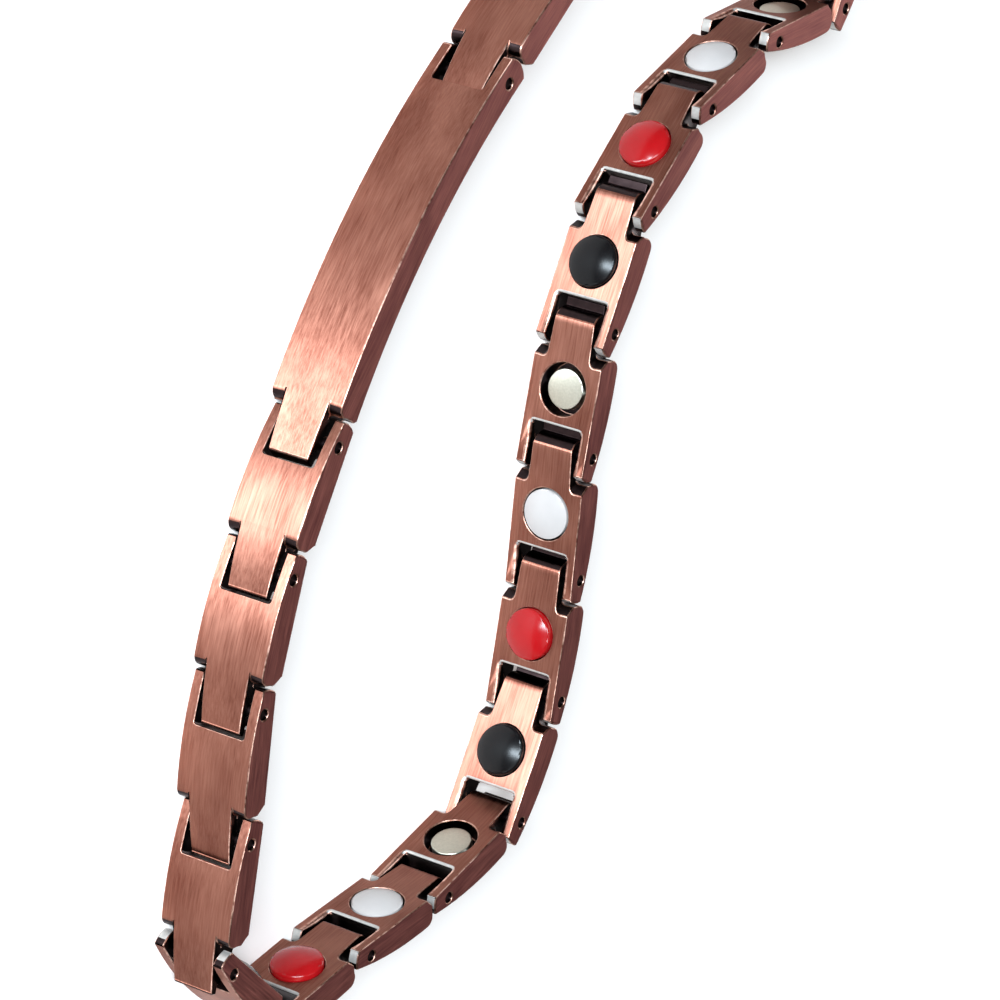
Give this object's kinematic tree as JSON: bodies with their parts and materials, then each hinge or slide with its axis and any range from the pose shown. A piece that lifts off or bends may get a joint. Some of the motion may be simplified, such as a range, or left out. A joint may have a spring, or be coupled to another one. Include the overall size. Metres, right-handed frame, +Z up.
{
  "type": "magnetic bracelet",
  "caption": "Slim hinged-link bracelet in antique copper, with a round stone or magnet set in the wrist side of each link, closed by a plain curved clasp and standing on its edge.",
  "frame": {"origin": "on the surface that the bracelet stands on, under the middle of the loop's outline", "axes": "+Z up, along the hinge pins and across the band; +X along the loop's longer way; the camera of the picture looks from about -Y"},
  "size_m": [0.0928, 0.0404, 0.0054],
  "materials": {
    "antique_copper": "brushed antique copper plating on steel, darker in the recesses",
    "dark_steel": "darkened steel",
    "magnet": "matt nickel plating",
    "white_stone": "satin",
    "red_stone": "glossy",
    "black_stone": "glossy"
  },
  "bodies": {
    "root": {"link_01": "antique_copper", "link_02": "antique_copper", "link_03": "antique_copper", "link_04": "antique_copper", "link_05": "antique_copper", "link_06": "antique_copper", "link_07": "antique_copper", "link_08": "antique_copper", "link_09": "antique_copper", "link_10": "antique_copper", "link_11": "antique_copper", "link_12": "antique_copper", "link_13": "antique_copper", "link_14": "antique_copper", "link_15": "antique_copper", "link_16": "antique_copper", "link_17": "antique_copper", "link_18": "antique_copper", "link_19": "antique_copper", "link_20": "antique_copper", "link_21": "antique_copper", "link_22": "antique_copper", "link_23": "antique_copper", "white_stone_01": "white_stone", "red_stone_02": "red_stone", "black_stone_03": "black_stone", "magnet_04": "magnet", "white_stone_05": "white_stone", "red_stone_06": "red_stone", "black_stone_07": "black_stone", "magnet_08": "magnet", "white_stone_09": "white_stone", "red_stone_10": "red_stone", "black_stone_11": "black_stone", "magnet_12": "magnet", "white_stone_13": "white_stone", "red_stone_14": "red_stone", "black_stone_15": "black_stone", "magnet_16": "magnet", "white_stone_17": "white_stone", "red_stone_18": "red_stone", "black_stone_19": "black_stone", "magnet_20": "magnet", "white_stone_21": "white_stone", "red_stone_22": "red_stone", "black_stone_23": "black_stone", "clasp": "antique_copper", "hinge_pins": "dark_steel"}
  },
  "joints": []
}
